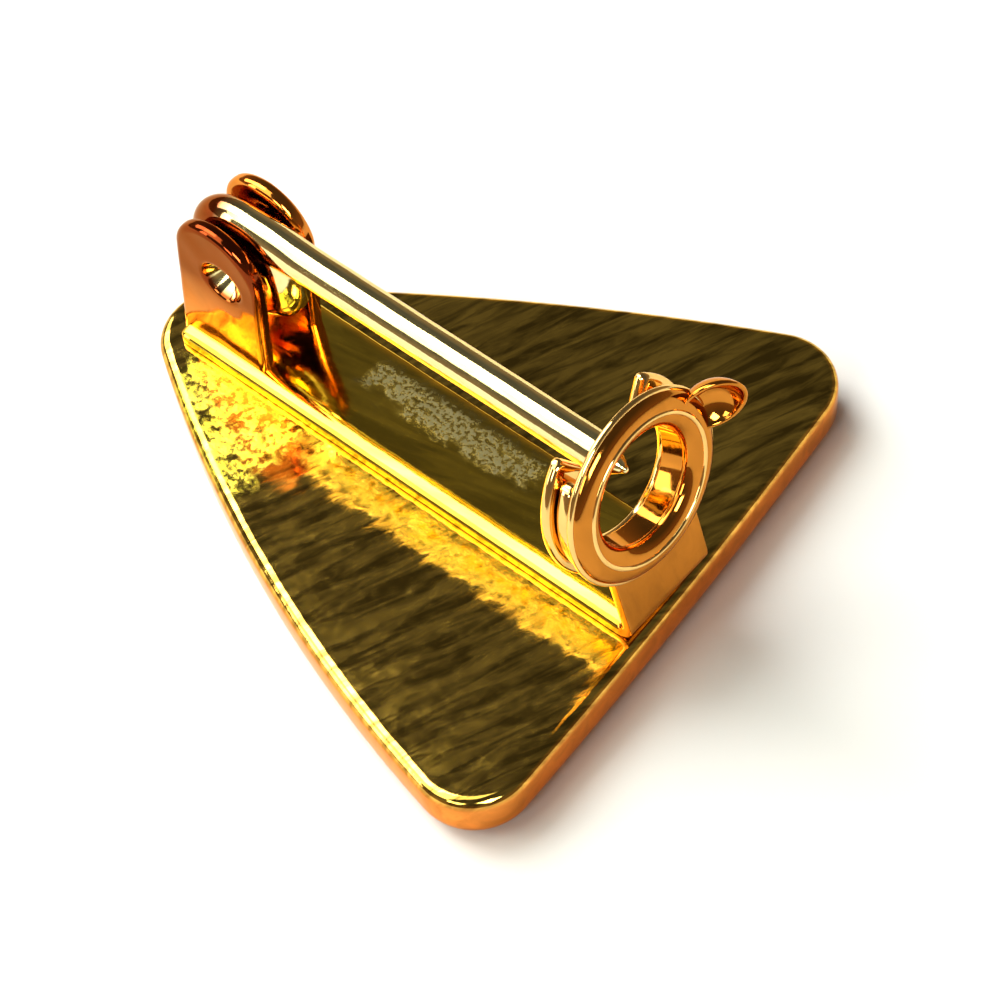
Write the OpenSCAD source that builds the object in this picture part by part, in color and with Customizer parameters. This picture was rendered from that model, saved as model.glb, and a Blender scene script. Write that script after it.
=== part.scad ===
// Lapel pin lying on its front: a rounded three-cornered metal badge with a safety bar pin on its back.
// The bar runs along X, its hinge at the low end and its catch at the high end. The front is at height 0.

/* [Badge] */
// Thickness of the badge
badge_t = 1.7; // [1.4:0.1:2]
// Radius of the badge's corners, seen from above
corner_r = 1.62; // [1.4:0.02:1.8]
// Radius of the rounded rim of the front
front_rim_r = 0.7; // [0.4:0.05:0.85]
// Radius of the rounded rim of the back
back_rim_r = 0.4; // [0.2:0.05:0.5]
// Bulge of the long side on the near side of the bar
near_bow = 0.66; // [0.4:0.02:0.9]
// Bulge of the side past the catch
catch_bow = 0.12; // [0.1:0.02:0.3]
// Bulge of the long side on the far side of the bar
far_bow = 0.38; // [0.1:0.02:0.5]

/* [Bar] */
// Width of the bar
bar_w = 3; // [2.7:0.05:3.1]
// Thickness of the sheet that the bar, ears and catch are bent from
sheet_t = 0.45; // [0.4:0.05:0.5]
// Length of the bar from its back end to the catch
bar_l = 14.95; // [14.9:0.05:15.1]

/* [Hinge] */
// Width over the outer faces of the two ears
hinge_w = 2.3; // [2.2:0.05:2.5]
// Distance from the back of the bar to the front of an ear's foot
ear_w = 2.8; // [2.7:0.1:3.1]
// How far the ears reach back past the bar
ear_back = 0.2; // [0:0.05:0.25]
// Height of an ear above the badge's back
ear_h = 5.35; // [5.25:0.05:5.6]
// Radius of an ear's round head
head_r = 1.42; // [1.38:0.02:1.5]
// Height of the hinge axis above the badge's back
axis_h = 3.5; // [3.4:0.1:3.6]
// Distance of the hinge axis from the back of the bar
axis_x = 1.9; // [1.8:0.1:2]
// Radius of the boss that is punched inwards from each ear
boss_r = 0.6; // [0.5:0.05:0.6]
// Gap between the boss and the eye of the stem
eye_gap = 0.06; // [0.04:0.01:0.08]

/* [Stem] */
// Diameter of the stem's wire
wire_d = 1; // [0.9:0.05:1]
// Outer radius of the flattened eye
eye_r = 1.9; // [1.8:0.05:1.95]
// Height of the wire's middle line above the hinge axis
stem_up = 1.25; // [1.2:0.05:1.3]
// Length of the stem from the hinge axis to its tip
stem_l = 12.4; // [12.2:0.05:12.4]
// Length of the stem's taper
taper_l = 0.9; // [0.8:0.1:3]
// Radius of the tip
tip_r = 0.12; // [0.1:0.02:0.2]

/* [Catch] */
// Angle by which the catch leans back over the bar
lean = 12; // [10:1:12]
// Height of the ring's middle above the badge's back
ring_h = 4.5; // [4.4:0.05:4.55]
// Radius of the rotor's flanges
flange_r = 2.55; // [2.5:0.05:2.6]
// Radius of the hole through the rotor
bore_r = 1.55; // [1.5:0.05:1.6]
// Radius of the hole's flared mouth in the front flange
mouth_r = 2.05; // [1.9:0.05:2.15]
// Wall of the rotor's hub
hub_wall = 0.4; // [0.35:0.05:0.4]
// Thickness of the front flange
front_t = 0.22; // [0.2:0.02:0.26]
// Thickness of the rear flange
rear_t = 0.3; // [0.25:0.05:0.35]
// Running gap between the rotor and the catch plate
run_gap = 0.05; // [0.04:0.01:0.07]
// Radius of the thumb cup's rim
cup_r = 0.87; // [0.83:0.02:0.91]
// Depth of the thumb cup on its outside
cup_depth = 0.55; // [0.4:0.05:0.6]
// Angle by which the thumb cup leans out from the ring
cup_lean = 34; // [30:1:36]

/* [Hidden] */
$fn = 64;

// Middles of the badge's rounded corners: at the hinge, on the near side and on the far side
CORNERS = [[-6.76, -1.11], [6.76, -6.51], [5.86, 6.51]];
BOWS = [near_bow, catch_bow, far_bow];
side_steps = 12;
corner_steps = 10;
rim_steps = 4;

// Where the finding sits on the badge: the back of its bar, and its middle line
bar_x = -7.4;
bar_y = -0.43;

// Hinge
back_z = badge_t;
bar_top = sheet_t;
sink = 0.1;
head_at = [1.78, ear_h - head_r];
pivot_x = bar_x + axis_x;
pivot_z = back_z + axis_h;
pit_r = 0.66;
pit_end_r = 0.34;
boss_end_y = 0.25;
boss_wall = 0.2;

// Stem
wire_r = wire_d / 2;
eye_half = 0.55;
bore_eye_r = boss_r + eye_gap;
stem_z = pivot_z + stem_up;
tip_x = pivot_x + stem_l;

// Catch, in a frame at the front of the ring that leans with it
head_wall = 0.4;
plate_front = -front_t - run_gap;
plate_back = plate_front - sheet_t;
rear_front = plate_back - run_gap;
rear_back = rear_front - rear_t;
hub_r = bore_r + hub_wall;
plate_hole_r = hub_r + run_gap;
plate_head_r = plate_hole_r + head_wall;
slot_half = 1.45;
mouth_t = 0.14;
bend_x = bar_x + bar_l;
bend_up = ring_h - bar_top;
neck_l = bend_up / cos(lean) + plate_back * tan(lean);
ring_x = bend_x + (sheet_t + run_gap + front_t) / cos(lean) - bend_up * tan(lean);
ring_z = back_z + ring_h;
cup_turn = 20;
cup_at = 2.49;
cup_front = 0.36;
cup_wall = 0.15;
spare = 0.4;

// Radius and middle of the arc that bulges by bow between two corner middles
function arc_r(a, b, bow) = norm(b - a) ^ 2 / (8 * bow) + bow / 2;
function arc_mid(a, b, bow) = (a + b) / 2 - [b.y - a.y, a.x - b.x] / norm(b - a) * (arc_r(a, b, bow) - bow);
function heading(v) = atan2(v.y, v.x);
function turned(from, to) = to < from ? to + 360 : to;
function on_arc(mid, r, a) = mid + r * [cos(a), sin(a)];

// Where the straight line from p touches the circle around mid, on the side that side names
function touch(p, mid, r, side) = on_arc(mid, r, heading(p - mid) + side * acos(r / norm(p - mid)));

// Outline of the badge drawn in by inset: each side's arc, then the arc of the corner at its end
function outline(inset) = [
    for (i = [0:2])
        let (
            a = CORNERS[i],
            b = CORNERS[(i + 1) % 3],
            c = CORNERS[(i + 2) % 3],
            mid = arc_mid(a, b, BOWS[i]),
            r = arc_r(a, b, BOWS[i]) + corner_r - inset,
            next_mid = arc_mid(b, c, BOWS[(i + 1) % 3]),
            start = heading(a - mid),
            end = turned(start, heading(b - mid)),
            corner_end = turned(end, heading(b - next_mid))
        )
        for (k = [0:side_steps + corner_steps - 1])
            k < side_steps
            ? on_arc(mid, r, start + (end - start) * k / side_steps)
            : on_arc(b, corner_r - inset, end + (corner_end - end) * (k - side_steps) / corner_steps)
];

// Inset and height of each ring of the badge's edge, from the front up to the back
RINGS = [
    for (k = [0:rim_steps])
        let (a = 90 * k / rim_steps)
        [front_rim_r * (1 - sin(a)), front_rim_r * (1 - cos(a))],
    for (k = [0:rim_steps])
        let (a = 90 * k / rim_steps)
        [back_rim_r * (1 - cos(a)), badge_t - back_rim_r * (1 - sin(a))]
];

module plate() {
    per_ring = 3 * (side_steps + corner_steps);
    last = len(RINGS) - 1;
    points = [
        for (ring = RINGS)
            for (p = outline(ring[0]))
                [p.x, p.y, ring[1]]
    ];
    sides = [
        for (j = [0:last - 1])
            for (i = [0:per_ring - 1])
                let (n = (i + 1) % per_ring)
                [
                    j * per_ring + i,
                    (j + 1) * per_ring + i,
                    (j + 1) * per_ring + n,
                    j * per_ring + n
                ]
    ];
    front = [for (i = [0:per_ring - 1]) i];
    back = [for (i = [per_ring - 1:-1:0]) last * per_ring + i];
    polyhedron(points, concat([front], sides, [back]), convexity = 2);
}

// A round bar along X that starts at x and is l long
module along_x(r, x, l) {
    translate([x, 0, 0])
        rotate([0, 90, 0])
            cylinder(r = r, h = l);
}

module strip() {
    translate([bar_x, bar_y - bar_w / 2, back_z - sink])
        cube([bar_l, bar_w, bar_top + sink]);
}

// An ear seen from the side, measured from the back of the bar
module ear_shape() {
    back = [-ear_back, 0];
    foot = [ear_w, 0];
    translate(head_at)
        circle(r = head_r);
    polygon([back, foot, touch(foot, head_at, head_r, 1), head_at, touch(back, head_at, head_r, -1)]);
}

// One ear, on the side of the bar that side names: -1 near, 1 far
module ear(side) {
    inner = hinge_w / 2 - sheet_t;
    translate([bar_x, bar_y, back_z])
        mirror([0, side < 0 ? 1 : 0, 0])
            difference() {
                union() {
                    translate([0, hinge_w / 2, 0])
                        rotate([90, 0, 0])
                            linear_extrude(sheet_t)
                                ear_shape();
                    translate([axis_x, inner + spare / 2, axis_h])
                        rotate([90, 0, 0])
                            cylinder(r = boss_r, h = inner + spare / 2 - boss_end_y);
                }
                translate([axis_x, hinge_w / 2, axis_h])
                    rotate([90, 0, 0])
                        cylinder(r1 = pit_r, r2 = pit_end_r, h = hinge_w / 2 - boss_end_y - boss_wall);
            }
}

// Places its children in the leaning frame of the catch, whose X runs forwards along the ring's axis
module at_catch() {
    translate([ring_x, bar_y, ring_z])
        rotate([0, -lean, 0])
            children();
}

// The way that the stem takes out of the ring, from the back up to front_end
module slot(front_end) {
    translate([rear_back - spare, -slot_half, 0])
        cube([front_end - rear_back + spare, 2 * slot_half, flange_r + spare]);
}

// The bar's end, bent up and pierced for the rotor
module catch_plate() {
    at_catch()
        difference() {
            union() {
                along_x(plate_head_r, plate_back, sheet_t);
                translate([plate_back, -bar_w / 2, -neck_l])
                    cube([sheet_t, bar_w, neck_l]);
            }
            along_x(plate_hole_r, plate_back - spare, sheet_t + 2 * spare);
            slot(plate_front + spare);
        }
    difference() {
        translate([bend_x, bar_y + bar_w / 2, back_z + bar_top])
            rotate([90, 0, 0])
                cylinder(r = sheet_t, h = bar_w);
        at_catch()
            translate([plate_back - 2 * sheet_t, -bar_w, -neck_l])
                cube([4 * sheet_t, 2 * bar_w, 2 * sheet_t]);
    }
}

module badge() {
    color("darkgoldenrod")
        union() {
            plate();
            strip();
            ear(-1);
            ear(1);
            catch_plate();
        }
}

module pin_stem() {
    color("palegoldenrod")
        union() {
            translate([pivot_x, bar_y, pivot_z])
                rotate([90, 0, 0])
                    rotate_extrude() {
                        translate([eye_r - eye_half, 0])
                            circle(r = eye_half);
                        translate([bore_eye_r, -eye_half])
                            square([eye_r - eye_half - bore_eye_r, 2 * eye_half]);
                    }
            translate([0, bar_y, stem_z]) {
                along_x(wire_r, pivot_x, stem_l - taper_l);
                translate([tip_x - taper_l, 0, 0])
                    rotate([0, 90, 0])
                        cylinder(r1 = wire_r, r2 = tip_r, h = taper_l);
            }
        }
}

// Places its children in the middle of the thumb cup's rim, with X out of the cup
module at_cup() {
    rotate([cup_turn, 0, 0])
        translate([cup_front, cup_at, 0])
            rotate([0, 0, -cup_lean])
                children();
}

// The ball that a bowl of this depth and rim is part of
module bowl_ball(rim, depth) {
    r = (rim ^ 2 + depth ^ 2) / (2 * depth);
    translate([r - depth, 0, 0])
        sphere(r = r);
}

module thumb_cup() {
    at_cup()
        difference() {
            bowl_ball(cup_r, cup_depth);
            translate([0, -2 * flange_r, -2 * flange_r])
                cube(4 * flange_r);
        }
}

module catch_rotor() {
    color("goldenrod")
        at_catch()
            difference() {
                union() {
                    along_x(flange_r, -front_t, front_t);
                    along_x(hub_r, rear_back, -rear_back - front_t / 2);
                    along_x(flange_r, rear_back, rear_t);
                    thumb_cup();
                }
                along_x(bore_r, rear_back - spare, -rear_back + 2 * spare);
                translate([-mouth_t, 0, 0])
                    rotate([0, 90, 0])
                        cylinder(r1 = bore_r, r2 = 2 * mouth_r - bore_r, h = 2 * mouth_t);
                slot(-front_t);
                at_cup()
                    bowl_ball(cup_r - cup_wall, cup_depth - cup_wall);
            }
}

badge();
pin_stem();
catch_rotor();
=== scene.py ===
"""Looks of a gilt lapel pin that lies on its front, with its bar, hinged stem and turning ring catch."""

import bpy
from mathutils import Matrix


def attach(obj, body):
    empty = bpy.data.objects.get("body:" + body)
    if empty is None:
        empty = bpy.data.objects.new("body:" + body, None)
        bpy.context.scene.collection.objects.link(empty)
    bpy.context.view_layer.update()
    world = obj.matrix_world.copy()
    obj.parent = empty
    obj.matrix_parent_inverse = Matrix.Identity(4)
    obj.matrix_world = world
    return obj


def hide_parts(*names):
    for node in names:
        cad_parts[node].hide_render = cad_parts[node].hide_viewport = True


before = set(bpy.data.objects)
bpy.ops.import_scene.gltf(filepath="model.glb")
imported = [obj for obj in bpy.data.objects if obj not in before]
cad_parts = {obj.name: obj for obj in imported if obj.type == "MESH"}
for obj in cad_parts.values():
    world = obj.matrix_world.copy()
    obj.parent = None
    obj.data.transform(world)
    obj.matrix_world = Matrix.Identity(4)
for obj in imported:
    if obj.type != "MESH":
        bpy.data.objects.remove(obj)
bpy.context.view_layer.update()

from types import SimpleNamespace

import bmesh
import bpy
import numpy as np
from bpy.props import FloatProperty, FloatVectorProperty, PointerProperty
from bpy.types import Operator, Panel, PropertyGroup
from mathutils import Matrix, Vector

bl_info = {
    "name": "Lapel Pin",
    "version": (1, 0, 0),
    "blender": (4, 5, 0),
    "location": "View3D > Sidebar > Lapel Pin",
    "description": "Builds a gilt lapel pin with its safety bar pin, and a plain stage to show it on",
    "category": "Add Mesh",
}

MM = 0.001
# In millimetres: the middles of the badge's round corners, and the middle of the bar's back end.
CORNERS = np.array([[-6.76, -1.11], [6.76, -6.51], [5.86, 6.51]])
BAR_START = np.array([-7.4, -0.43])
# What the metal mirrors at a grazing angle takes this tint.
EDGE_TINT = (1.0, 0.76, 0.55, 1.0)


def length(name, description, mm):
    """A length that the user may change, with its default in millimetres."""
    return FloatProperty(name=name, description=description, default=mm * MM, unit="LENGTH", precision=5)


def angle(name, description, degrees):
    """An angle that the user may change, with its default in degrees."""
    return FloatProperty(name=name, description=description, default=np.radians(degrees), subtype="ANGLE")


def colour(name, description, rgb):
    """A colour that the user may change."""
    return FloatVectorProperty(
        name=name, description=description, default=rgb, subtype="COLOR", size=3, min=0, max=1
    )


class BadgeSizes(PropertyGroup):
    thickness: length("Thickness", "Thickness of the badge", 1.7)
    corner: length("Corner radius", "Radius of the badge's corners", 1.6125)
    front_rim: length("Front rim", "Radius of the rounded rim of the front", 0.7)
    back_rim: length("Back rim", "Radius of the rounded rim of the back", 0.3)
    near_bow: length("Near bow", "Bulge of the near long side", 0.66)
    catch_bow: length("Catch bow", "Bulge of the side past the catch", 0.12)
    far_bow: length("Far bow", "Bulge of the far long side", 0.38)


class FindingSizes(PropertyGroup):
    width: length("Bar width", "Width of the bar", 3.0)
    hinge: length("Hinge width", "Width over the outer faces of the two ears", 2.3)
    sheet: length("Sheet", "Thickness of the sheet metal", 0.45)
    edge: length("Bar edge", "Width of the bar's crowned edge", 0.6)
    bar: length("Bar length", "Length of the bar up to its bend", 14.95)
    ear_width: length("Ear front", "Distance from the bar's back end to the front of an ear's foot", 2.8)
    ear_back: length("Ear back", "How far the ears reach back past the bar", 0.2)
    ear_height: length("Ear height", "Height of an ear above the badge", 5.35)
    head: length("Ear head", "Radius of an ear's round head", 1.42)
    head_back: length("Head place", "Distance of the head's middle from the back of the bar", 1.78)
    axis_back: length("Axis place", "Distance of the hinge axis from the back of the bar", 1.9)
    axis_height: length("Axis height", "Height of the hinge axis above the badge", 3.5)
    boss: length("Boss", "Radius of the boss that holds the stem's eye", 0.6)
    pit: length("Dimple", "Radius of the dimple in each ear", 0.66)
    pit_floor: length("Dimple floor", "Radius of the dimple's floor", 0.34)
    pit_depth: length("Dimple depth", "Depth of the dimple in each ear", 0.7)
    boss_end: length("Boss end", "Distance of a boss's end from the middle", 0.25)


class StemSizes(PropertyGroup):
    wire: length("Wire", "Diameter of the stem's wire", 1.0)
    rise: length("Rise", "Height of the wire's middle line above the hinge axis", 1.25)
    eye: length("Eye", "Outer radius of the flattened eye", 1.87)
    reach: length("Reach", "Length from the hinge axis to the tip", 12.4)
    taper: length("Taper", "Length of the point", 1.0)
    tip: length("Tip", "Radius of the point's rounded end", 0.11)


class CatchSizes(PropertyGroup):
    lean: angle("Lean", "Angle by which the catch leans back", 12)
    height: length("Height", "Height of the ring's middle above the badge", 4.5)
    flange: length("Flange", "Radius of the ring's flanges", 2.55)
    bore: length("Bore", "Radius of the hole through the ring", 1.55)
    mouth: length("Mouth", "Radius of the hole's flared mouth", 2.05)
    mouth_depth: length("Mouth depth", "Depth of the hole's flared mouth", 0.14)
    hub_wall: length("Hub wall", "Wall of the ring's hub", 0.4)
    front: length("Front flange", "Thickness of the front flange", 0.22)
    rear: length("Rear flange", "Thickness of the rear flange", 0.3)
    gap: length("Gap", "Running gap between the ring and the catch plate", 0.05)
    slot: length("Slot", "Half the width of the slot that the stem swings through", 1.45)
    cup: length("Cup", "Radius of the thumb cup's rim", 0.87)
    cup_depth: length("Cup depth", "Depth of the thumb cup outside", 0.55)
    cup_wall: length("Cup wall", "Wall of the thumb cup", 0.13)
    cup_reach: length("Cup reach", "Distance of the cup's rim from the catch's axis", 2.49)
    cup_front: length("Cup front", "How far the middle of the cup's rim stands out in front", 0.36)
    cup_lean: angle("Cup lean", "Angle by which the cup leans out from the ring", 34)
    cup_turn: angle("Cup turn", "Angle from straight across to the cup, round the catch's axis", 20)


class Finishes(PropertyGroup):
    plate: colour("Plate gold", "Colour of the badge's plating", (0.96, 0.59, 0.10))
    # Painted reflection: the amber of the stem's underside mirrored in the badge beside the bar.
    stem_reflection_gold: colour("Solder gold", "Colour of the mottled gold along the bar", (0.93, 0.62, 0.08))
    # Painted reflection: the near ear's bright face mirrored in the badge beside the hinge.
    ear_reflection_gold: colour("Matt gold", "Colour of the dull, mottled gold beside the hinge", (0.92, 0.78, 0.07))
    # Painted reflection: copper that stands in for warm surroundings mirrored in the badge's side and in the
    # ears.
    side: colour("Side copper", "Colour of the badge's side and of the ears' feet", (0.80, 0.27, 0.05))
    sheet: colour("Sheet gold", "Colour of the bar", (0.92, 0.60, 0.06))
    # Painted reflection: dark copper for the warm surroundings mirrored in the near ear's top and the stem's
    # eye.
    ear: colour("Ear copper", "Colour of the worn top of the near ear", (0.21, 0.035, 0.008))
    # Painted reflection: copper for the warm surroundings mirrored in the far ear's top.
    far_ear: colour("Far ear copper", "Colour of the worn top of the far ear", (0.62, 0.20, 0.03))
    wire: colour("Wire gold", "Colour of the stem's plating", (0.90, 0.76, 0.34))
    # Painted reflection: copper for the warm surroundings mirrored in the ring, its thumb cup and the bar's
    # neck.
    ring: colour("Ring gold", "Colour of the ring's plating", (0.54, 0.19, 0.024))
    edges: colour("Edge gold", "Colour of the catch plate and of the ring's edges", (0.88, 0.56, 0.18))
    floor: colour("Floor", "Colour of the floor", (0.82, 0.82, 0.82))


def in_mm(group):
    """The group's lengths in millimetres, and its other values as they are."""
    units = {p.identifier: p.unit for p in group.bl_rna.properties if p.type == "FLOAT"}
    scales = {key: MM if unit == "LENGTH" else 1 for key, unit in units.items()}
    return SimpleNamespace(**{key: getattr(group, key) / scale for key, scale in scales.items()})


def heading(v):
    """Angle of a flat vector."""
    return np.arctan2(v[1], v[0])


def turned(start, end):
    """The angle end, counted on past start."""
    return end if end > start else end + 2 * np.pi


def round_points(mid, radius, start, end, steps):
    """Points mid + radius * (cos a, sin a), and their outward directions (cos a, sin a).
    The angles run from start up to but without end."""
    a = np.linspace(start, end, steps, endpoint=False)
    out = np.stack([np.cos(a), np.sin(a)], -1)
    return np.asarray(mid) + radius * out, out


def quarter(steps):
    """Sines and cosines of angles from 0 to 90 degrees."""
    a = np.linspace(0, np.pi / 2, steps)
    return np.sin(a), np.cos(a)


def rounded_box(width, height, wide, tall, low=None, steps=6):
    """Rings of a rectangle whose corners are quarters of ellipses with the radii wide and tall:
    (+-(width / 2 - wide) + wide * cos a, +-(height / 2 - tall) + tall * sin a).
    The two lower corners are round with the radius low, if it is given."""
    low_wide, low_tall = (wide, tall) if low is None else (low, low)
    sizes = np.broadcast_arrays(width, height, wide, tall, low_wide, low_tall)
    width, height, wide, tall, low_wide, low_tall = (np.atleast_1d(v)[:, None] for v in sizes)
    a = np.concatenate([np.linspace(0, np.pi / 2, steps) + k * np.pi / 2 for k in range(4)])
    side = np.repeat([[1, 1], [-1, 1], [-1, -1], [1, -1]], steps, axis=0)
    wide = np.where(side[:, 1] > 0, wide, low_wide)
    tall = np.where(side[:, 1] > 0, tall, low_tall)
    x = side[:, 0] * (width / 2 - wide) + wide * np.cos(a)
    y = side[:, 1] * (height / 2 - tall) + tall * np.sin(a)
    return np.stack([x, y], -1)


def carried(path, across, up, rings):
    """A profile carried along a path: path point + a * across + b * up for each profile point (a, b)."""
    return path[:, None] + rings[..., :1] * across[:, None] + rings[..., 1:] * up[:, None]


def skin(grid, wrap_rows=False):
    """Vertices and faces of a grid of points whose rows are rings, with quads between neighbours.
    A fan closes each end, unless the last row is joined to the first."""
    rows, cols, _ = grid.shape
    row = np.arange(rows if wrap_rows else rows - 1)[:, None]
    col = np.arange(cols)[None]
    after = (row + 1) % rows
    beside = (col + 1) % cols
    quads = np.stack([row * cols + col, row * cols + beside, after * cols + beside, after * cols + col], -1)
    verts = grid.reshape(-1, 3)
    if wrap_rows:
        return verts, [quads.reshape(-1, 4)]
    verts = np.concatenate([verts, grid[:1].mean(1), grid[-1:].mean(1)])
    col = np.arange(cols)
    beside = (col + 1) % cols
    first = np.stack([np.full(cols, rows * cols), beside, col], -1)
    end = (rows - 1) * cols
    last = np.stack([np.full(cols, rows * cols + 1), end + col, end + beside], -1)
    return verts, [quads.reshape(-1, 4), first, last]


def joined(*skins):
    """Several skins as one set of vertices and faces."""
    verts, faces, count = [], [], 0
    for points, groups in skins:
        verts.append(points)
        faces += [g + count for g in groups]
        count += len(points)
    return np.concatenate(verts), faces


def add_piece(name, skins, material, body):
    """Puts skins, in millimetres, into one smooth mesh whose faces point outwards.
    The piece rides on its body and takes its material slot."""
    verts, faces = joined(*skins)
    mesh = bpy.data.meshes.new(name)
    mesh.from_pydata((verts * MM).tolist(), [], [f for g in faces for f in g.tolist()])
    work = bmesh.new()
    work.from_mesh(mesh)
    bmesh.ops.recalc_face_normals(work, faces=work.faces)
    work.to_mesh(mesh)
    work.free()
    mesh.shade_smooth()
    mesh.materials.append(material)
    piece = bpy.data.objects.new(name, mesh)
    bpy.context.scene.collection.objects.link(piece)
    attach(piece, body)
    return piece


def waves(points, seed, count, shortest, longest, bearing, spread, height):
    """Sum of count sine waves over flat points, sin(2 pi * along / size + phase + wobble) * height * size.
    Sizes run from shortest to longest, and the waves' fronts lie within about spread of the bearing."""
    rng = np.random.default_rng(seed)
    size = np.exp(rng.uniform(np.log(shortest), np.log(longest), count))
    way = bearing + np.pi / 2 + rng.normal(0, spread, count)
    phase = rng.uniform(0, 2 * np.pi, count)
    along = points[..., 0, None] * np.cos(way) + points[..., 1, None] * np.sin(way)
    beside = points[..., 1, None] * np.cos(way) - points[..., 0, None] * np.sin(way)
    wobble = 1.4 * np.sin(2 * np.pi * beside / (3.3 * size) + 2 * phase)
    return height * (size * np.sin(2 * np.pi * along / size + phase + wobble)).sum(-1) / np.sqrt(count)


def uneven(grid, seed, height):
    """Moves each point of a grid a little by sine waves of all three coordinates.
    The metal's shine is uneven then, as that of polished plating is."""
    rng = np.random.default_rng(seed)
    for size in (0.7, 1.3, 2.2):
        way = rng.normal(size=(3, 3))
        way /= np.linalg.norm(way, axis=1, keepdims=True)
        phase = rng.uniform(0, 2 * np.pi, 3)
        grid = grid + height * size * np.sin(grid @ way.T * 2 * np.pi / size + phase)
    return grid


class Nodes:
    """Short ways to add and join the nodes of one tree."""

    def __init__(self, tree):
        self.tree = tree
        tree.nodes.clear()

    def add(self, kind, settings=None, **inputs):
        """A new node with its settings, and its inputs by their names, with _ for a space."""
        node = self.tree.nodes.new(kind)
        for key, value in (settings or {}).items():
            setattr(node, key, value)
        for key, value in inputs.items():
            self.put(node.inputs[key.replace("_", " ")], value)
        return node

    def put(self, socket, value):
        """Links another node's output to a socket, or sets the socket's own value."""
        if isinstance(value, bpy.types.NodeSocket):
            self.tree.links.new(value, socket)
        else:
            socket.default_value = value

    def place(self, turn=0.0, stretch=(1, 1, 1)):
        """Object coordinates in millimetres, turned about Z and stretched."""
        here = self.add("ShaderNodeTexCoord").outputs["Object"]
        size = tuple(v / MM for v in stretch)
        flat = self.add("ShaderNodeMapping", Vector=here, Rotation=(0, 0, turn)).outputs[0]
        return self.add("ShaderNodeMapping", Vector=flat, Scale=size).outputs[0]

    def noise(self, place, scale, detail=3.0, roughness=0.5, distortion=0.0):
        """Smooth noise from 0 to 1 whose lumps are about 1 / scale long."""
        values = {"Scale": scale, "Detail": detail, "Roughness": roughness, "Distortion": distortion}
        return self.add("ShaderNodeTexNoise", Vector=place, **values).outputs["Fac"]

    def axis(self, place, letter):
        """One coordinate of a place."""
        return self.add("ShaderNodeSeparateXYZ", Vector=place).outputs[letter]

    def vector(self, operation, place, other):
        """The node of an operation on a place and a fixed vector."""
        node = self.add("ShaderNodeVectorMath", {"operation": operation}, Vector=place)
        node.inputs[1].default_value = other
        return node

    def math(self, operation, a, b):
        """The result of an operation on two numbers or sockets."""
        node = self.add("ShaderNodeMath", {"operation": operation})
        self.put(node.inputs[0], a)
        self.put(node.inputs[1], b)
        return node.outputs[0]

    def ramp(self, value, low, high, start=0.0, end=1.0):
        """value from low to high, spread over start to end."""
        node = self.add("ShaderNodeMapRange", Value=value)
        for key, number in zip(("From Min", "From Max", "To Min", "To Max"), (low, high, start, end)):
            node.inputs[key].default_value = number
        return node.outputs[0]

    def mix(self, share, a, b):
        """Colour a, going over to colour b as share rises to 1."""
        node = self.add("ShaderNodeMix", {"data_type": "RGBA"})
        self.put(node.inputs[0], share)
        self.put(node.inputs[6], a)
        self.put(node.inputs[7], b)
        return node.outputs[2]


def rgba(rgb, share=1.0):
    """A colour with its alpha, made darker or lighter."""
    return (*[min(1.0, c * share) for c in rgb], 1.0)


def spotted(n, place, tone, spot):
    """The tone with a round spot on it, seen along Y: its middle's X and Z, its radius and its colour."""
    soft_edge = 0.08
    (x, z), radius, rgb = spot
    off = n.vector("SUBTRACT", place, (x, 0, z)).outputs[0]
    flat = n.vector("MULTIPLY", off, (1, 0, 1)).outputs[0]
    away = n.vector("LENGTH", flat, (0, 0, 0)).outputs["Value"]
    return n.mix(n.ramp(away, radius, radius - soft_edge), tone, rgba(rgb))


def in_zone(n, place, limits, fine, reflection_share):
    """How far a place lies in a mottled, ragged oblong that fades out where the painted reflection tint sets
    in, given its limits along X and Y.
    """
    mottle_scale, ragged, fade = 2.6, 0.25, 0.4
    mottle = n.noise(place, mottle_scale, detail=2.0, roughness=0.6)
    inside = n.math("MULTIPLY", n.ramp(mottle, 0.25, 0.45), n.ramp(fine, 0.4, 0.52, 0.3, 1.0))
    inside = n.math("MULTIPLY", inside, n.ramp(reflection_share, 0.0, 0.4, 1.0, 0.0))
    for letter, (first_end, last_end) in zip("XY", limits):
        here = n.math("ADD", n.axis(place, letter), n.ramp(mottle, 0.3, 0.7, -ragged, ragged))
        inside = n.math("MULTIPLY", inside, n.ramp(here, first_end, first_end + fade))
        inside = n.math("MULTIPLY", inside, n.ramp(here, last_end, last_end - fade))
    return inside


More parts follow.
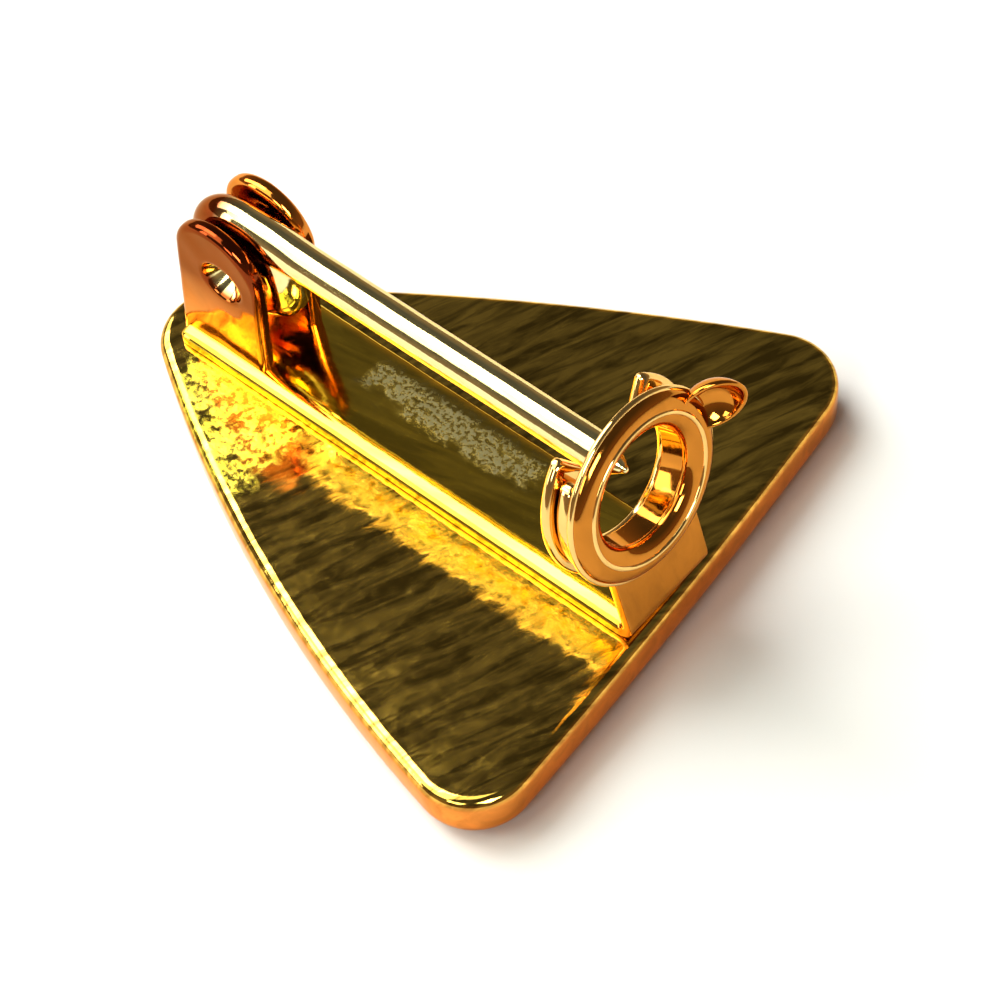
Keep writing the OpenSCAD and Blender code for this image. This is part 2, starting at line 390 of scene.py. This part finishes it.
def gilt(
    name, rgb, gloss, streaks, grain, reflection_tint=None, levels=(0, 1), contrast=0.12, axis="Z", spot=None, zones=()
):
    """Polished gold plate, with lengths in millimetres.
    Gloss is its least and greatest roughness. Streaks gives the angle, width and depth of its brushed waves,
    whose tones differ by contrast, and grain the width and depth of its fine pits.
    The colour goes over to reflection_tint, a painted reflection of warm surroundings, between two levels on
    the axis.
    A spot is a round place of another colour: its middle's X and Z, its radius and its colour.
    Each zone is a mottled, duller oblong: its limits in X and Y, its colour and its added roughness."""
    brush_stretch = (0.16, 1, 0.5)
    broad_scale = 0.45
    brighter = 1.08
    reflection_contrast = 0.3
    reflection_wave_depth = 0.4
    zone_pits = 6
    material = bpy.data.materials.new(name)
    material.use_nodes = True
    n = Nodes(material.node_tree)
    turn, width, depth = streaks
    grain_size, grain_depth = grain
    brushed = n.place(-turn, brush_stretch)
    plain = n.place()
    wave = n.noise(brushed, 1 / width, detail=4.0, roughness=0.55, distortion=0.6)
    broad = n.noise(plain, broad_scale, detail=2.0)
    fine = n.noise(plain, 1 / grain_size, detail=3.0, roughness=0.6)
    reflection_tint = reflection_tint or rgb
    # Painted reflection: between the levels the colour goes over to the warm tint of mirrored surroundings.
    reflection_share = n.ramp(n.axis(plain, axis), *levels)
    light = n.mix(reflection_share, rgba(rgb, brighter), rgba(reflection_tint, brighter))
    dark = n.mix(reflection_share, rgba(rgb, 1 - contrast), rgba(reflection_tint, 1 - reflection_contrast * contrast))
    patchy = n.mix(n.ramp(broad, 0.35, 0.7, 0.0, 0.25), light, dark)
    tone = n.mix(n.ramp(wave, 0.62, 0.38), patchy, dark)
    if spot:
        tone = spotted(n, plain, tone, spot)
    rough = n.ramp(fine, 0.35, 0.7, *gloss)
    pits = grain_depth * MM
    for limits, zone_rgb, duller in zones:
        inside = in_zone(n, plain, limits, fine, reflection_share)
        tone = n.mix(inside, tone, rgba(zone_rgb))
        rough = n.math("ADD", rough, n.ramp(inside, 0.0, 1.0, 0.0, duller))
        pits = n.math("ADD", pits, n.ramp(inside, 0.0, 1.0, 0.0, zone_pits * grain_depth * MM))
    wave_depth = n.ramp(reflection_share, 0.0, 1.0, depth * MM, reflection_wave_depth * depth * MM)
    waved = n.add("ShaderNodeBump", Height=wave, Strength=1.0, Distance=wave_depth)
    pitted = n.add("ShaderNodeBump", Height=fine, Strength=1.0, Distance=pits, Normal=waved.outputs[0])
    shader = n.add("ShaderNodeBsdfPrincipled", Base_Color=tone, Roughness=rough, Normal=pitted.outputs[0])
    shader.inputs["Metallic"].default_value = 1.0
    shader.inputs["Specular Tint"].default_value = EDGE_TINT
    n.add("ShaderNodeOutputMaterial", Surface=shader.outputs[0])
    return material


def bow_arc(a, b, bow):
    """Middle and radius of the arc from a to b that bulges by bow to the right of the way."""
    span = np.linalg.norm(b - a)
    radius = span**2 / (8 * bow) + bow / 2
    right = np.array([b[1] - a[1], a[0] - b[0]]) / span
    return (a + b) / 2 - right * (radius - bow), radius


def badge_edge(s, side_steps=104, corner_steps=34):
    """The badge's outline and its outward directions: each side's bowed arc and then its end's round corner.
    Each is an arc mid + radius * (cos a, sin a)."""
    bows = (s.near_bow, s.catch_bow, s.far_bow)
    points, outs = [], []
    for i in range(3):
        a, b, c = (CORNERS[(i + k) % 3] for k in range(3))
        mid, radius = bow_arc(a, b, bows[i])
        next_mid, _ = bow_arc(b, c, bows[(i + 1) % 3])
        start = heading(a - mid)
        end = turned(start, heading(b - mid))
        corner_end = turned(end, heading(b - next_mid))
        side = round_points(mid, radius + s.corner, start, end, side_steps)
        corner = round_points(b, s.corner, end, corner_end, corner_steps)
        points += [side[0], corner[0]]
        outs += [side[1], corner[1]]
    return np.concatenate(points), np.concatenate(outs)


def plate_skin(s):
    """The badge as rings of its outline, shrunk to the middle on both faces.
    Round the rims they are edge - inset * out, with the inset radius * (1 - sin a) on the front and
    radius * (1 - cos a) on the back.
    The back is sunk a little and rippled by waves, which fade in over the last rings of its rim."""
    front_rings, back_rings, fade_rings = 14, 92, 4
    sunk = 0.006
    edge, out = badge_edge(s)
    middle = edge.mean(0)
    sin, cos = quarter(9)
    inset = np.concatenate([s.front_rim * (1 - sin), s.back_rim * (1 - cos)])
    height = np.concatenate([s.front_rim * (1 - cos), s.thickness - s.back_rim * (1 - sin)])
    rim = edge - inset[:, None, None] * out
    front = middle + (rim[0] - middle) * np.linspace(0.02, 0.98, front_rings)[:, None, None]
    back = middle + (rim[-1] - middle) * np.linspace(0.995, 0.008, back_rings)[:, None, None]
    flat = np.concatenate([front, rim, back])
    z = np.concatenate([np.zeros(front_rings), height, np.full(back_rings, s.thickness)])
    grid = np.concatenate([flat, np.broadcast_to(z[:, None, None], (*flat.shape[:2], 1))], -1)
    calm = np.zeros(front_rings + len(height) - fade_rings)
    share = np.concatenate([calm, np.linspace(0, 1, fade_rings), np.ones(back_rings)])[:, None]
    ripple = waves(
        flat, seed=3, count=26, shortest=0.35, longest=2.2, bearing=1.17, spread=0.35, height=0.0032
    )
    grid[..., 2] -= share * (sunk + ripple)
    return skin(grid)


def bar_skin(f, c, thickness):
    """The bar: a rounded box's rings carried along the badge, round the bend and up the neck to the ring.
    Its back end is rounded off by the inset rim * (1 - sin a) of the first rings."""
    bend = 0.06
    rim = 0.2
    low_corner = 0.05
    least = 0.004
    into_ring = 0.2
    level_steps, neck_steps, bend_steps = 60, 12, 15
    half = f.sheet / 2
    top = thickness + f.sheet
    turn = np.pi / 2 + c.lean
    corner = np.array([BAR_START[0] + f.bar, top])
    mid = corner + bend * np.array([-1 / np.tan((np.pi - turn) / 2), 1])
    a = np.linspace(0, turn, bend_steps) - np.pi / 2
    round_path = mid + (half + bend) * np.stack([np.cos(a), np.sin(a)], -1)
    sin, cos = quarter(5)
    end_inset = rim * (1 - sin[:-1])
    end_steps = len(end_inset)
    end = np.stack([BAR_START[0] + rim - rim * cos[:-1], np.full(end_steps, thickness + half)], -1)
    level = np.linspace(BAR_START[0] + rim, mid[0] - 0.02, level_steps)
    level = np.stack([level, np.full(level_steps, thickness + half)], -1)
    way = np.array([np.cos(turn), np.sin(turn)])
    neck_length = (c.height - f.sheet) / np.cos(c.lean) - c.flange + into_ring
    neck = round_path[-1] + way * np.linspace(bend, neck_length, neck_steps)[:, None]
    line = np.concatenate([end, level, round_path, neck])
    tilt = np.concatenate([np.zeros(end_steps + level_steps), a + np.pi / 2, np.full(neck_steps, turn)])
    inset = np.concatenate([end_inset, np.zeros(len(line) - end_steps)])
    share = np.maximum(rim - inset, least) / rim
    width, height = f.width - 2 * inset, f.sheet - 2 * inset
    rings = rounded_box(width, height, f.edge * share, rim * share, low_corner * share, steps=12)
    path = np.stack([line[:, 0], np.full(len(line), BAR_START[1]), line[:, 1]], -1)
    across = np.tile([0.0, 1.0, 0.0], (len(line), 1))
    up = np.stack([-np.sin(tilt), np.zeros(len(line)), np.cos(tilt)], -1)
    return skin(uneven(carried(path, across, up, rings), seed=5, height=0.0012))


def ear_edge(f):
    """An ear's outline from the side, and its outward directions.
    It goes along the foot, up the straight front, round the head that both straight edges touch, and down
    the straight back, which ends short of the foot so that no inset ring folds."""
    foot_steps, side_steps, head_steps = 14, 18, 56
    back_share = 0.96
    head = np.array([f.head_back, f.ear_height - f.head])
    feet = np.array([[-f.ear_back, 0.0], [f.ear_width, 0.0]])
    touch = []
    for foot, side in zip(feet, (-1, 1)):
        way = foot - head
        touch.append(heading(way) + side * np.arccos(f.head / np.linalg.norm(way)))
    first = touch[1]
    last = turned(first, touch[0])
    arc, arc_out = round_points(head, f.head, first, last, head_steps)
    first_out, last_out = (np.array([np.cos(a), np.sin(a)]) for a in (first, last))
    share = np.linspace(0, 1, side_steps, endpoint=False)[:, None]
    front = feet[1] + (arc[0] - feet[1]) * share
    front_out = np.tile(first_out, (side_steps, 1))
    front_out[0, 1] -= 1
    back_top = head + f.head * last_out
    back = back_top + (feet[0] - back_top) * back_share * share
    back_out = np.tile(last_out, (side_steps, 1))
    foot_share = np.linspace(0, 1, foot_steps, endpoint=False)[:, None]
    foot = feet[0] + (feet[1] - feet[0]) * foot_share
    foot_out = np.concatenate([2 * foot_share - 1, np.full((foot_steps, 1), -1.0)], 1)
    points = np.concatenate([foot, front, arc, back])
    return points, np.concatenate([foot_out, front_out, arc_out, back_out])


def ear_skin(f, thickness, side):
    """An ear: rings from the bottom of its dimple out to its rim, round it, and in to the end of the boss.
    The dimple and the boss are axis + radius * ray, and the rims edge - rim * (1 - sin a) * out."""
    rim = 0.18
    edge, out = ear_edge(f)
    axis = np.array([f.axis_back, f.axis_height])
    ray = edge - axis
    ray = ray / np.linalg.norm(ray, axis=1, keepdims=True)
    outer = f.hinge / 2
    inner = outer - f.sheet
    wall = np.linspace(0, 1, 12)
    floor_r = [0.04, 0.14, 0.24]
    lip_r = [f.pit + 0.04, f.pit + 0.12]
    wall_r = f.pit_floor + (f.pit - f.pit_floor) * wall
    pit_r = np.concatenate([floor_r, wall_r, lip_r])
    pit_y = np.concatenate([[1, 1, 0.99], 0.97 - 0.94 * wall, [0.005, 0]]) * f.pit_depth
    pit = axis + pit_r[:, None, None] * ray
    share = np.linspace(0, 1, 40)[1:-1, None, None]
    face = pit[-1] + (edge - rim * out - pit[-1]) * share
    sin, cos = quarter(6)
    over = edge - (rim * (1 - np.concatenate([sin, cos])))[:, None, None] * out
    over_y = np.concatenate([outer - rim * (1 - cos), inner + rim * (1 - sin)])
    end = inner - f.boss_end
    boss_r = f.boss + np.array([0.22, 0.1, 0.03, 0, 0, 0, -0.03, -0.1, -0.3, -0.5])
    boss_y = np.array([0, 0.01, 0.05, 0.12, 0.25, end - 0.07, end - 0.02, end, end, end])
    boss = axis + boss_r[:, None, None] * ray
    back = over[-1] + (boss[0] - over[-1]) * np.linspace(0, 1, 8)[1:-1, None, None]
    flat = np.concatenate([pit, face, over, back, boss])
    face_y, back_y = np.full(len(face), outer), np.full(len(back), inner)
    y = np.concatenate([outer - pit_y, face_y, over_y, back_y, inner - boss_y])
    y = np.broadcast_to(y[:, None], flat.shape[:2])
    x = BAR_START[0] + flat[..., 0]
    grid = np.stack([x, BAR_START[1] + side * y, thickness + flat[..., 1]], -1)
    return skin(uneven(grid, seed=11 + side, height=0.0022))


def stem_skin(s, f, thickness):
    """The stem: ellipses (wide * cos b, tall * sin b) carried along a line and round the hinge axis.
    Their radius grows from the tip by a sine, and a smooth step makes those of the eye taller."""
    loop_start, loop_end = 90, 405
    flat_from, flat_over = 0.8, 1.6
    bluntness = 0.9
    point_steps, straight_steps, loop_steps, around_steps = 22, 120, 90, 40
    wider = 0.06
    pivot = np.array([BAR_START[0] + f.axis_back, thickness + f.axis_height])
    radius = s.wire / 2
    taller = (s.eye - s.rise) / radius - 1
    sin, cos = quarter(6)
    tip_x = pivot[0] + s.reach
    t = np.linspace(0, 1, point_steps)
    point_x = tip_x - s.tip - t * (s.taper - s.tip)
    point_r = s.tip + (radius - s.tip) * np.sin(t * np.pi / 2) ** bluntness
    cap_x = tip_x - s.tip * (1 - cos)
    cap_r = s.tip * sin
    straight = np.linspace(point_x[-1], pivot[0], straight_steps)[1:]
    x = np.concatenate([cap_x[1:-1], point_x, straight])
    a = np.radians(np.linspace(loop_start, loop_end, loop_steps))[1:]
    r = np.concatenate([cap_r[1:-1], point_r, np.full(len(straight) + len(a), radius)])
    level = np.stack([x, np.full(len(x), pivot[1] + s.rise)], -1)
    loop = pivot + s.rise * np.stack([np.cos(a), np.sin(a)], -1)
    line = np.concatenate([level, loop])
    up_angle = np.concatenate([np.full(len(x), np.pi / 2), a])
    reach = np.concatenate([np.maximum(x - pivot[0], 0), np.zeros(len(a))])
    flat = np.clip(1 - (reach - flat_from) / flat_over, 0, 1)
    flat = flat * flat * (3 - 2 * flat)
    tall = r * (1 + taller * flat)
    wide = r * (1 + wider * flat)
    b = np.linspace(0, 2 * np.pi, around_steps, endpoint=False)
    rings = np.stack([wide[:, None] * np.cos(b), tall[:, None] * np.sin(b)], -1)
    path = np.stack([line[:, 0], np.full(len(line), BAR_START[1]), line[:, 1]], -1)
    across = np.tile([0.0, 1.0, 0.0], (len(line), 1))
    up = np.stack([np.cos(up_angle), np.zeros(len(line)), np.sin(up_angle)], -1)
    return skin(uneven(carried(path, across, up, rings), seed=23, height=0.0014))


def ring_frame(f, c, thickness):
    """The catch's own frame: the middle of its front, and the axes forwards, across and up its own lean."""
    forward = np.array([np.cos(c.lean), 0, np.sin(c.lean)])
    up = np.array([-np.sin(c.lean), 0, np.cos(c.lean)])
    rise = c.height - f.sheet
    x = BAR_START[0] + f.bar + (f.sheet + c.gap + c.front) / np.cos(c.lean) - rise * np.tan(c.lean)
    return np.array([x, BAR_START[1], thickness + c.height]), forward, np.array([0.0, 1.0, 0.0]), up


def at_catch(place, x, y, z):
    """Points of the leaning frame: origin + x * forward + y * across + z * up."""
    origin, forward, across, up = place
    return origin + x[..., None] * forward + y[..., None] * across + z[..., None] * up


def curl(place, inner, outer, back, front, rim, start, end, steps=72):
    """A rounded band carried round the catch's axis from angle start to end, which are counted from the top.
    Its ends are rounded off by the inset rim * (1 - sin a)."""
    least = 0.004
    sin, _ = quarter(5)
    ease = rim * (1 - sin)
    inset = np.concatenate([ease, np.zeros(steps), ease[::-1]])
    edge = ease / outer
    middle = np.linspace(start + rim / outer, end - rim / outer, steps)
    a = np.concatenate([start + edge[::-1], middle, end - edge])
    radius = np.maximum(rim - inset, least)
    rings = rounded_box(outer - inner - 2 * inset, front - back - 2 * inset, radius, radius)
    r = (inner + outer) / 2 + rings[..., 0]
    x = (front + back) / 2 + rings[..., 1]
    return skin(at_catch(place, x, r * np.sin(a[:, None]), r * np.cos(a[:, None])))


def whole_ring(place, profile, steps=96):
    """A closed profile of (forward, radius) points turned once round the catch's axis."""
    a = np.linspace(0, 2 * np.pi, steps, endpoint=False)[:, None]
    x = np.broadcast_to(profile[:, 0], (steps, len(profile)))
    return skin(at_catch(place, x, profile[:, 1] * np.sin(a), profile[:, 1] * np.cos(a)), wrap_rows=True)


def wire_ring(place, forward, middle, radius):
    """A round wire bent into a ring: (forward + radius * sin a, middle + radius * cos a), turned once."""
    a = np.linspace(0, 2 * np.pi, 20, endpoint=False)
    return whole_ring(place, np.stack([forward + radius * np.sin(a), middle + radius * np.cos(a)], -1))


def ring_skins(f, c, thickness):
    """The turning ring in two lots.
    The first is its domed front flange and its hub, which take the ring's copper, a painted reflection. The
    second
    is made in brighter gold: the flange's two round edges and the rear flange. The slot cuts the hub and the
    rear flange.
    A quarter of an ellipse rises from the bore to the dome's crest, and another falls to the outer edge."""
    crest = 0.16
    lip = 0.07
    edge = 0.085
    dome_foot = 0.13
    back_corner = 0.05
    sunk = 0.03
    bevel = 0.03
    barrel_rim, flange_rim = 0.04, 0.14
    spare = 0.02
    place = ring_frame(f, c, thickness)
    hub = c.bore + c.hub_wall
    rear = -c.front - 2 * c.gap - f.sheet
    sin, cos = quarter(12)
    mouth_x = -c.mouth_depth + (c.mouth_depth + crest) * sin
    mouth = np.stack([mouth_x, c.bore + (c.mouth - c.bore) * (1 - cos)], -1)
    dome_x = -dome_foot + (dome_foot + crest) * cos
    dome = np.stack([dome_x, c.mouth + (c.flange - edge - c.mouth) * sin], -1)[1:]
    sin, cos = quarter(5)
    corner_x = -c.front + back_corner * (1 - sin)
    corner = np.stack([corner_x, c.flange - edge - back_corner * (1 - cos)], -1)
    back = np.stack([np.full(3, -c.front), [hub + 0.2, hub, c.bore + bevel]], -1)
    inner = np.array([[bevel - c.front, c.bore]])
    front = whole_ring(place, np.concatenate([mouth, dome, corner, back, inner]))
    inner_edge = wire_ring(place, crest - sunk, c.mouth - lip, lip)
    outer_edge = wire_ring(place, edge - c.front, c.flange - edge, edge)
    gap = np.arcsin(c.slot / hub) + spare
    rear_gap = np.arcsin(c.slot / c.flange) + spare
    barrel = curl(place, c.bore, hub, rear - 0.1, 0.05 - c.front, barrel_rim, gap, 2 * np.pi - gap)
    flange = curl(place, c.bore, c.flange, rear - c.rear, rear, flange_rim, rear_gap, 2 * np.pi - rear_gap)
    return [front, barrel], [inner_edge, outer_edge, flange]


def catch_plate_skin(f, c, thickness):
    """The head of the catch plate: a rounded band round the ring's hub, open at the top for the stem."""
    band = 0.4
    rim = 0.18
    place = ring_frame(f, c, thickness)
    inner = c.bore + c.hub_wall + c.gap
    front = -c.front - c.gap
    gap = np.arcsin(c.slot / inner)
    return curl(place, inner, inner + band, front - f.sheet, front, rim, gap, 2 * np.pi - gap)


def ball_cap(rim, depth, steps=16):
    """Profile of a cap of a ball, from its pole to its rim: (ball - depth - ball * cos a, ball * sin a)."""
    ball = (rim**2 + depth**2) / (2 * depth)
    near_pole = 0.04
    a = np.linspace(near_pole, np.arcsin(min(1, rim / ball)), steps)
    return np.stack([ball - depth - ball * np.cos(a), ball * np.sin(a)], -1)


def cup_skin(f, c, thickness):
    """The thumb cup: two ball caps and a round lip between them, turned about the cup's own leaning axis."""
    place = ring_frame(f, c, thickness)
    outside = ball_cap(c.cup, c.cup_depth)
    inside = ball_cap(c.cup - c.cup_wall, c.cup_depth - c.cup_wall)[::-1]
    a = np.linspace(0, np.pi, 8)[1:-1]
    lip = np.stack([c.cup_wall / 2 * np.sin(a), c.cup - c.cup_wall / 2 * (1 - np.cos(a))], -1)
    profile = np.concatenate([outside, lip, inside])
    around = np.linspace(0, 2 * np.pi, 56, endpoint=False)
    x, r = profile[:, :1], profile[:, 1:]
    y, z = r * np.cos(around), r * np.sin(around)
    x = np.broadcast_to(x, y.shape)
    ahead = c.cup_front + x * np.cos(c.cup_lean) + y * np.sin(c.cup_lean)
    beside = c.cup_reach - x * np.sin(c.cup_lean) + y * np.cos(c.cup_lean)
    across = beside * np.cos(c.cup_turn) - z * np.sin(c.cup_turn)
    up = beside * np.sin(c.cup_turn) + z * np.cos(c.cup_turn)
    return skin(at_catch(place, ahead, across, up))


class PinOperator:
    """What all the pin's operators share: its sizes in millimetres, and the finished state."""

    bl_options = {"REGISTER", "UNDO"}

    def execute(self, context):
        scene = context.scene
        self.badge = in_mm(scene.pin_badge)
        self.finding = in_mm(scene.pin_finding)
        self.stem = in_mm(scene.pin_stem)
        self.catch = in_mm(scene.pin_catch)
        self.finish = scene.pin_finishes
        self.build()
        return {"FINISHED"}


class PIN_OT_badge(PinOperator, Operator):
    """Adds the badge itself, a rounded three-cornered plate with a brushed back"""

    bl_idname = "pin.badge"
    bl_label = "Badge"

    def build(self):
        # Along the bar the zone is a painted reflection of the stem; it is also rougher and more pitted.
        along_bar = ((-4.6, 7.4), (-3.1, -1.7))
        # By the hinge the zone is a painted reflection of the near ear; it is also rougher and more pitted.
        by_hinge = ((-6.9, -2.5), (-4.9, -1.7))
        # Below the back's rim the side goes over to copper: a painted reflection of warm surroundings.
        gold = gilt(
            "brushed_gilt", self.finish.plate, gloss=(0.06, 0.11), streaks=(1.17, 0.3, 0.005),
            grain=(0.22, 0.001), reflection_tint=self.finish.side, levels=(1.62, 1.42), contrast=0.72,
            zones=((along_bar, self.finish.stem_reflection_gold, 0.06), (by_hinge, self.finish.ear_reflection_gold, 0.17)),
        )
        piece = add_piece("badge_plate", [plate_skin(self.badge)], gold, "badge")
        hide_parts("badge")


class PIN_OT_bar(PinOperator, Operator):
    """Adds the bar with its bend and neck, and the head of the catch plate"""

    bl_idname = "pin.bar"
    bl_label = "Bar and catch plate"

    def build(self):
        dull_patch = ((-2.6, 3.4), (-0.5, 0.9))
        dull_share = 0.27
        dull_gold = [dull_share * v for v in self.finish.wire]
        # At the bend and neck the bar goes over to the ring's copper: a painted reflection of warm
        # surroundings.
        gold = gilt(
            "sheet_gilt", self.finish.sheet, gloss=(0.06, 0.12), streaks=(0.2, 0.5, 0.003),
            grain=(0.12, 0.0008), reflection_tint=self.finish.ring, levels=(7.35, 7.6), contrast=0.35, axis="X",
            zones=((dull_patch, dull_gold, 0.24),),
        )
        plain = gilt(
            "catch_gilt", self.finish.edges, gloss=(0.06, 0.12), streaks=(0.0, 0.35, 0.002),
            grain=(0.12, 0.0008),
        )
        t = self.badge.thickness
        add_piece("bar", [bar_skin(self.finding, self.catch, t)], gold, "badge")
        add_piece("catch_plate", [catch_plate_skin(self.finding, self.catch, t)], plain, "badge")


class PIN_OT_ears(PinOperator, Operator):
    """Adds the two ears of the hinge, each with its punched dimple"""

    bl_idname = "pin.ears"
    bl_label = "Hinge ears"

    def build(self):
        f = self.finding
        pivot = (BAR_START[0] + f.axis_back, self.badge.thickness + f.axis_height)
        # The ears are copper and darker towards the top: painted reflections of warm surroundings. The
        # dimple keeps the wire's gold.
        for name, side, reflection_tint in (("ear_near", -1, self.finish.ear), ("ear_far", 1, self.finish.far_ear)):
            gold = gilt(
                name + "_gilt", self.finish.side, gloss=(0.06, 0.13), streaks=(0.4, 0.5, 0.002),
                grain=(0.2, 0.001), reflection_tint=reflection_tint, levels=(3.0, 4.9), spot=(pivot, 0.62, self.finish.wire),
            )
            add_piece(name, [ear_skin(f, self.badge.thickness, side)], gold, "badge")


class PIN_OT_stem(PinOperator, Operator):
    """Adds the wire stem, with its flattened eye and its point"""

    bl_idname = "pin.stem"
    bl_label = "Stem"

    def build(self):
        # Towards the eye the wire goes over to the near ear's copper: a painted reflection of warm
        # surroundings.
        gold = gilt(
            "wire_gilt", self.finish.wire, gloss=(0.05, 0.13), streaks=(0.0, 0.12, 0.0012),
            grain=(0.1, 0.0006), reflection_tint=self.finish.ear, levels=(-5.3, -6.2), axis="X",
        )
        wire = stem_skin(self.stem, self.finding, self.badge.thickness)
        piece = add_piece("stem", [wire], gold, "pin_stem")
        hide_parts("pin_stem")


class PIN_OT_ring(PinOperator, Operator):
    """Adds the turning ring of the catch and its thumb cup"""

    bl_idname = "pin.ring"
    bl_label = "Ring and thumb cup"

    def build(self):
        # The ring and cup take the ring's copper, a painted reflection; the edges keep a brighter gold.
        polish = {"gloss": (0.05, 0.12), "streaks": (0.3, 0.5, 0.002), "grain": (0.15, 0.0006)}
        gold = gilt("ring_gilt", self.finish.ring, **polish)
        bright = gilt("edge_gilt", self.finish.edges, **polish)
        t = self.badge.thickness
        front, rest = ring_skins(self.finding, self.catch, t)
        piece = add_piece("ring", front, gold, "catch_rotor")
        add_piece("ring_edges", rest, bright, "catch_rotor")
        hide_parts("catch_rotor")
        add_piece("thumb_cup", [cup_skin(self.finding, self.catch, t)], gold, "catch_rotor")


class PIN_OT_stage(PinOperator, Operator):
    """Adds the plain floor, the studio lights and the camera"""

    bl_idname = "pin.stage"
    bl_label = "Stage"

    def build(self):
        """The glint is mirrored in the metal alone, and leaves the floor and its shadow as they are."""
        self.floor()
        self.sky()
        cream = (1.0, 1.0, 0.93)
        self.softbox("overhead", (-0.415, -0.27, 0.869), 0.3, (0.24, 0.33), 3.3, (0.95, 1.0, 0.86))
        self.softbox("side", (-0.70, -0.02, 0.714), 0.35, (0.36, 0.2), 6.4, (1.0, 0.98, 0.95))
        self.softbox("front", (0.165, -0.776, 0.607), 0.3, (0.09, 0.09), 8, cream)
        self.softbox("low", (-0.66, -0.66, 0.33), 0.35, (0.09, 0.17), 6, cream)
        glint = self.softbox("glint", (0.62, -0.34, 0.70), 0.3, (0.12, 0.10), 22, cream)
        glint.visible_diffuse = False
        self.camera()

    def floor(self):
        """A plain square under the pin."""
        mesh = bpy.data.meshes.new("floor")
        r = 0.6
        mesh.from_pydata([(-r, -r, 0), (r, -r, 0), (r, r, 0), (-r, r, 0)], [], [(0, 1, 2, 3)])
        material = bpy.data.materials.new("floor")
        material.use_nodes = True
        n = Nodes(material.node_tree)
        shader = n.add("ShaderNodeBsdfDiffuse", Color=rgba(self.finish.floor))
        n.add("ShaderNodeOutputMaterial", Surface=shader.outputs[0])
        mesh.materials.append(material)
        floor = bpy.data.objects.new("floor", mesh)
        bpy.context.scene.collection.objects.link(floor)

    def sky(self):
        """A dim room, warmer near the floor than above."""
        world = bpy.data.worlds.new("studio")
        bpy.context.scene.world = world
        world.use_nodes = True
        n = Nodes(world.node_tree)
        way = n.add("ShaderNodeTexCoord").outputs["Generated"]
        height = n.add("ShaderNodeSeparateXYZ", Vector=way).outputs[2]
        low, high = (0.32, 0.22, 0.14, 1), (0.10, 0.095, 0.09, 1)
        tint = n.mix(n.ramp(height, 0.0, 0.6), low, high)
        shade = n.add("ShaderNodeBackground", Color=tint, Strength=1.0)
        n.add("ShaderNodeOutputWorld", Surface=shade.outputs[0])

    def softbox(self, name, way, distance, size, strength, rgb):
        """A rectangular light that stands at a distance towards way and faces the middle.
        Its first side lies along X as seen from the middle, and strength is its power for its size."""
        light = bpy.data.lights.new(name, "AREA")
        light.shape = "RECTANGLE"
        light.size, light.size_y = size
        light.energy = strength * np.pi * size[0] * size[1]
        light.color = rgb
        lamp = bpy.data.objects.new(name, light)
        back = Vector(way).normalized()
        across = (Vector((1, 0, 0)) - back * back.x).normalized()
        turn = Matrix((across, back.cross(across), back)).transposed().to_4x4()
        lamp.matrix_world = Matrix.Translation(back * distance) @ turn
        bpy.context.scene.collection.objects.link(lamp)
        return lamp

    def camera(self):
        """The camera at the photograph's viewing angle, by its own three axes and its place."""
        data = bpy.data.cameras.new("camera")
        data.sensor_width = 36
        data.lens = 109.67
        data.clip_start = 0.005
        camera = bpy.data.objects.new("camera", data)
        right = Vector((0.75814, 0.64711, -0.08050))
        up = Vector((-0.50324, 0.65911, 0.55886))
        back = Vector((0.41470, -0.38318, 0.82535))
        turn = Matrix((right, up, back)).transposed().to_4x4()
        camera.matrix_world = Matrix.Translation((0.034506, -0.030096, 0.065097)) @ turn
        scene = bpy.context.scene
        scene.collection.objects.link(camera)
        scene.camera = camera
        scene.view_settings.view_transform = "Standard"


class PIN_PT_panel(Panel):
    """Lists the pin's sizes, its colours and what builds it"""

    bl_idname = "PIN_PT_panel"
    bl_label = "Lapel Pin"
    bl_space_type = "VIEW_3D"
    bl_region_type = "UI"
    bl_category = "Lapel Pin"

    def draw(self, context):
        for operator in OPERATORS:
            self.layout.operator(operator.bl_idname)
        for name in GROUPS:
            group = getattr(context.scene, name)
            box = self.layout.box()
            for key in group.bl_rna.properties.keys():
                if key not in ("rna_type", "name"):
                    box.prop(group, key)


GROUPS = {
    "pin_badge": BadgeSizes,
    "pin_finding": FindingSizes,
    "pin_stem": StemSizes,
    "pin_catch": CatchSizes,
    "pin_finishes": Finishes,
}
OPERATORS = (PIN_OT_badge, PIN_OT_bar, PIN_OT_ears, PIN_OT_stem, PIN_OT_ring, PIN_OT_stage)


def register():
    for group in (*GROUPS.values(), *OPERATORS, PIN_PT_panel):
        bpy.utils.register_class(group)
    for name, group in GROUPS.items():
        setattr(bpy.types.Scene, name, PointerProperty(type=group))


def unregister():
    for name in GROUPS:
        delattr(bpy.types.Scene, name)
    for group in (*GROUPS.values(), *OPERATORS, PIN_PT_panel):
        bpy.utils.unregister_class(group)


def main():
    register()
    for operator in OPERATORS:
        group, name = operator.bl_idname.split(".")
        getattr(getattr(bpy.ops, group), name)()


if __name__ == "__main__":
    main()
